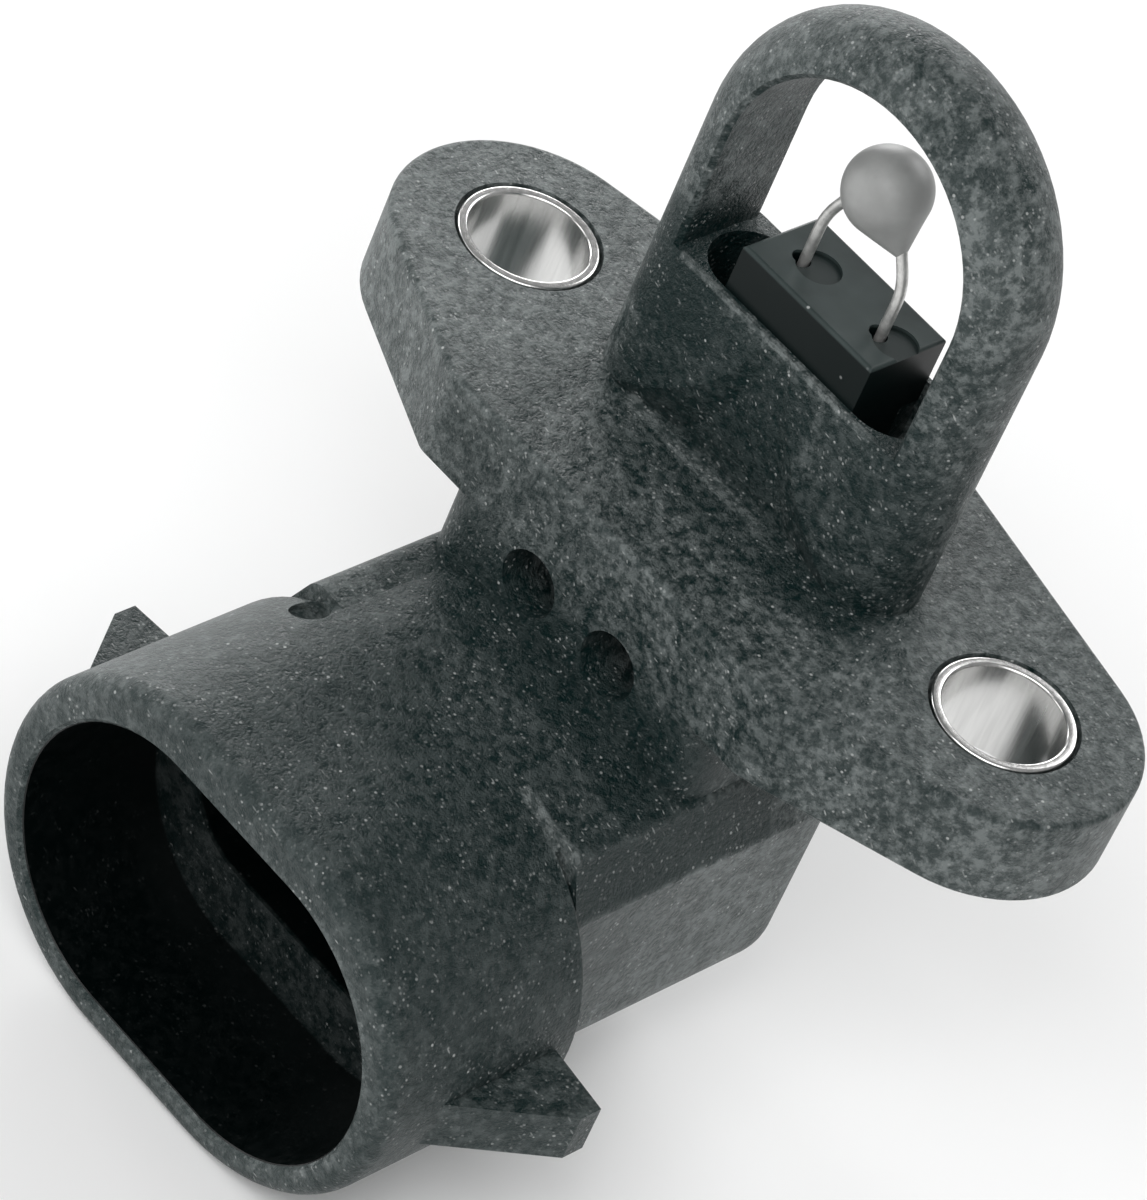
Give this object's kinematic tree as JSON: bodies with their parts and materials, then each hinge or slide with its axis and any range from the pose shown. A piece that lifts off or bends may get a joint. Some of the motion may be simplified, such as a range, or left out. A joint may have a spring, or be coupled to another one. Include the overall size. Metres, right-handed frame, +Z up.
{
  "type": "air temperature sensor",
  "caption": "Flanged air temperature sensor: a coated thermistor bead stands in an open loop guard, over a body that turns a right angle into an oval plug connector.",
  "frame": {"origin": "midway between the screw holes, on the flange's upper face that seats on the duct", "axes": "+X out of the connector, +Y along the flange towards the right-hand bushing, +Z up through the loop guard"},
  "size_m": [0.0397, 0.0478, 0.0544],
  "materials": {
    "housing": "matte black glass-filled nylon with pale fibre specks",
    "carrier": "smooth satin black",
    "bushing": "bright plated steel",
    "lead": "dull tin plate",
    "bead": "smooth grey epoxy coat",
    "terminal": "tin-plated brass"
  },
  "bodies": {
    "root": {"housing": "housing", "terminal_carrier": "carrier", "bushing_left": "bushing", "bushing_right": "bushing", "lead_left": "lead", "lead_right": "lead", "thermistor_bead": "bead", "terminal_left": "terminal", "terminal_right": "terminal"}
  },
  "joints": []
}
